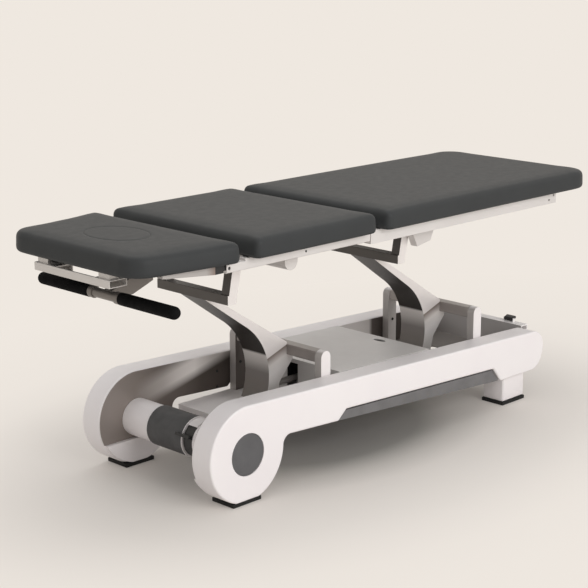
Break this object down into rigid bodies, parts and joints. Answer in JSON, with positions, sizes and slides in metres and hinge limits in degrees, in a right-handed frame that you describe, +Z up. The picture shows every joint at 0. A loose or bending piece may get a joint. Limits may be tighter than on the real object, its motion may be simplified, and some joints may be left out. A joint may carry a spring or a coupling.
{
  "type": "treatment table",
  "caption": "Height-adjustable treatment table with a sectioned padded top, a face-hole plug, swan-neck lift arms and a low base with round front lobes.",
  "frame": {"origin": "on the floor under the middle of the table", "axes": "+X from the head end to the leg end, -Y towards the near side, +Z up"},
  "size_m": [1.994, 0.62, 0.773],
  "materials": {
    "vinyl": "soft matt grey vinyl, slightly grained",
    "white_paint": "smooth white powder coat",
    "plate_steel": "satin steel sheet",
    "satin_steel": "satin steel",
    "cap_grey": "dark grey moulded plastic",
    "control_grey": "dark grey moulded plastic",
    "black_plastic": "black moulded plastic",
    "sleeve_rubber": "soft matt dark grey sleeve",
    "black_rubber": "matt black rubber",
    "foam": "matt black foam",
    "silver": "anodised aluminium",
    "head_grey": "warm grey paint",
    "strut_black": "black enamel"
  },
  "bodies": {
    "base": {"side_cover_near": "white_paint", "side_cover_far": "white_paint", "side_plate_near": "plate_steel", "side_plate_far": "plate_steel", "lobe_cap_near": "cap_grey", "lobe_cap_far": "cap_grey", "base_tray": "white_paint", "cross_tube": "white_paint", "tube_sleeve": "sleeve_rubber", "front_post_near": "white_paint", "front_post_far": "white_paint", "rear_post_near": "white_paint", "rear_post_far": "white_paint", "centre_cover": "white_paint", "rear_foot_near": "white_paint", "rear_foot_far": "white_paint", "front_pad_near": "black_rubber", "front_pad_far": "black_rubber", "rear_pad_near": "black_rubber", "rear_pad_far": "black_rubber", "tail_bracket": "satin_steel"},
    "foot_bar_near": {"foot_bar_near": "control_grey"},
    "foot_bar_far": {"foot_bar_far": "control_grey"},
    "foot_lever": {"foot_lever": "black_plastic"},
    "rear_pedal": {"rear_pedal": "black_plastic"},
    "front_arm": {"front_arm_blade": "satin_steel", "front_arm_yoke": "satin_steel"},
    "rear_arm": {"rear_arm_blade": "satin_steel", "rear_arm_yoke": "satin_steel"},
    "lift_rod": {"lift_rod": "satin_steel"},
    "lift_motor": {"lift_motor": "black_plastic"},
    "top_frame": {"seat_cushion": "vinyl", "side_rail_near": "white_paint", "side_rail_far": "white_paint", "main_beam_near": "white_paint", "main_beam_far": "white_paint", "front_upper_shaft": "satin_steel", "rear_upper_shaft": "satin_steel", "front_cross_member": "white_paint", "rear_cross_member": "white_paint"},
    "head_section": {"head_cushion": "vinyl", "head_bar_near": "head_grey", "head_bar_far": "head_grey", "head_hinge_near": "black_plastic", "head_hinge_far": "black_plastic", "accessory_rail": "silver", "head_cross_bar": "satin_steel"},
    "face_plug": {"face_plug": "vinyl"},
    "rail_knob": {"rail_knob": "black_plastic"},
    "release_handle": {"release_lever": "head_grey", "handle_grip_near": "foam", "handle_grip_far": "foam"},
    "leg_section": {"leg_cushion": "vinyl", "leg_rail_near": "white_paint", "leg_rail_far": "white_paint", "leg_cross_bar": "satin_steel"},
    "head_spring_cylinder": {"head_spring_cylinder": "strut_black"},
    "head_spring_rod": {"head_spring_rod": "satin_steel"},
    "leg_spring_cylinder": {"leg_spring_cylinder": "strut_black"},
    "leg_spring_rod": {"leg_spring_rod": "satin_steel"}
  },
  "joints": [
    {"name": "lift", "type": "hinge", "parent": "base", "child": "front_arm", "pos_m": [-0.2045, 0, 0.3315], "axis": [0, 1, 0], "range_deg": [-36, 30]},
    {"name": "rear_arm_swing", "type": "hinge", "parent": "base", "child": "rear_arm", "pos_m": [0.5299, 0, 0.3315], "axis": [0, 1, 0], "range_deg": [-36, 30]},
    {"name": "top_level", "type": "hinge", "parent": "front_arm", "child": "top_frame", "pos_m": [-0.519, 0, 0.672], "axis": [0, 1, 0], "range_deg": [-30, 36]},
    {"name": "lift_rod_swing", "type": "hinge", "parent": "front_arm", "child": "lift_rod", "pos_m": [-0.28, 0, 0.21], "axis": [0, 1, 0], "range_deg": [-26, 31]},
    {"name": "lift_rod_slide", "type": "slide", "parent": "lift_rod", "child": "lift_motor", "axis": [-0.9999, 0, -0.0109], "range_m": [-0.064, 0.0765]},
    {"name": "head_tilt", "type": "hinge", "parent": "top_frame", "child": "head_section", "pos_m": [-0.665, 0, 0.695], "axis": [0, 1, 0], "range_deg": [-40, 30]},
    {"name": "head_spring_swing", "type": "hinge", "parent": "top_frame", "child": "head_spring_cylinder", "pos_m": [-0.46, 0.05, 0.64], "axis": [0, 1, 0], "range_deg": [-9.8, 7.5]},
    {"name": "head_spring_slide", "type": "slide", "parent": "head_spring_cylinder", "child": "head_spring_rod", "axis": [-0.9985, 0, 0.0545], "range_m": [-0.0333, 0.0251]},
    {"name": "leg_tilt", "type": "hinge", "parent": "top_frame", "child": "leg_section", "pos_m": [-0.035, 0, 0.7], "axis": [0, -1, 0], "range_deg": [0, 50]},
    {"name": "leg_spring_swing", "type": "hinge", "parent": "top_frame", "child": "leg_spring_cylinder", "pos_m": [0.24, 0.05, 0.635], "axis": [0, 1, 0], "range_deg": [-0.5, 17.9]},
    {"name": "leg_spring_slide", "type": "slide", "parent": "leg_spring_cylinder", "child": "leg_spring_rod", "axis": [-0.9786, 0, 0.2058], "range_m": [-0.0005, 0.0279]},
    {"name": "face_plug_lift", "type": "slide", "parent": "head_section", "child": "face_plug", "axis": [0, 0, 1], "range_m": [0, 0.12]},
    {"name": "rail_knob_turn", "type": "hinge", "parent": "head_section", "child": "rail_knob", "pos_m": [-0.973, 0.089, 0.7], "axis": [0, 0, 1], "range_deg": [-180, 180]},
    {"name": "handle_pull", "type": "hinge", "parent": "head_section", "child": "release_handle", "pos_m": [-0.73, 0, 0.67], "axis": [0, 1, 0], "range_deg": [0, 8], "stiffness_Nm_per_rad": 12, "springref_deg": -14.32},
    {"name": "foot_lever_turn", "type": "hinge", "parent": "base", "child": "foot_lever", "pos_m": [-0.61, 0, 0.149], "axis": [0, 1, 0], "range_deg": [-20, 20], "stiffness_Nm_per_rad": 8},
    {"name": "foot_bar_near_rock", "type": "hinge", "parent": "base", "child": "foot_bar_near", "pos_m": [0.1585, -0.26, 0.155], "axis": [0.999, 0, -0.0446], "range_deg": [-6, 6], "stiffness_Nm_per_rad": 30},
    {"name": "foot_bar_far_rock", "type": "hinge", "parent": "base", "child": "foot_bar_far", "pos_m": [0.1585, 0.26, 0.155], "axis": [0.999, 0, -0.0446], "range_deg": [-6, 6], "stiffness_Nm_per_rad": 30},
    {"name": "rear_pedal_press", "type": "hinge", "parent": "base", "child": "rear_pedal", "pos_m": [0.798, -0.1325, 0.2485], "axis": [0, 1, 0], "range_deg": [-14, 14], "stiffness_Nm_per_rad": 0.8}
  ],
  "couplings": [
    {"joint": "rear_arm_swing", "follows": "lift", "ratio": 1},
    {"joint": "top_level", "follows": "lift", "ratio": -1},
    {"joint": "lift_rod_swing", "follows": "lift", "ratio": -0.84687},
    {"joint": "lift_rod_slide", "follows": "lift", "m_per_rad": -0.12004},
    {"joint": "head_spring_swing", "follows": "head_tilt", "ratio": 0.23312},
    {"joint": "head_spring_slide", "follows": "head_tilt", "m_per_rad": 0.04703},
    {"joint": "leg_spring_swing", "follows": "leg_tilt", "ratio": 0.34866},
    {"joint": "leg_spring_slide", "follows": "leg_tilt", "m_per_rad": 0.03141}
  ]
}
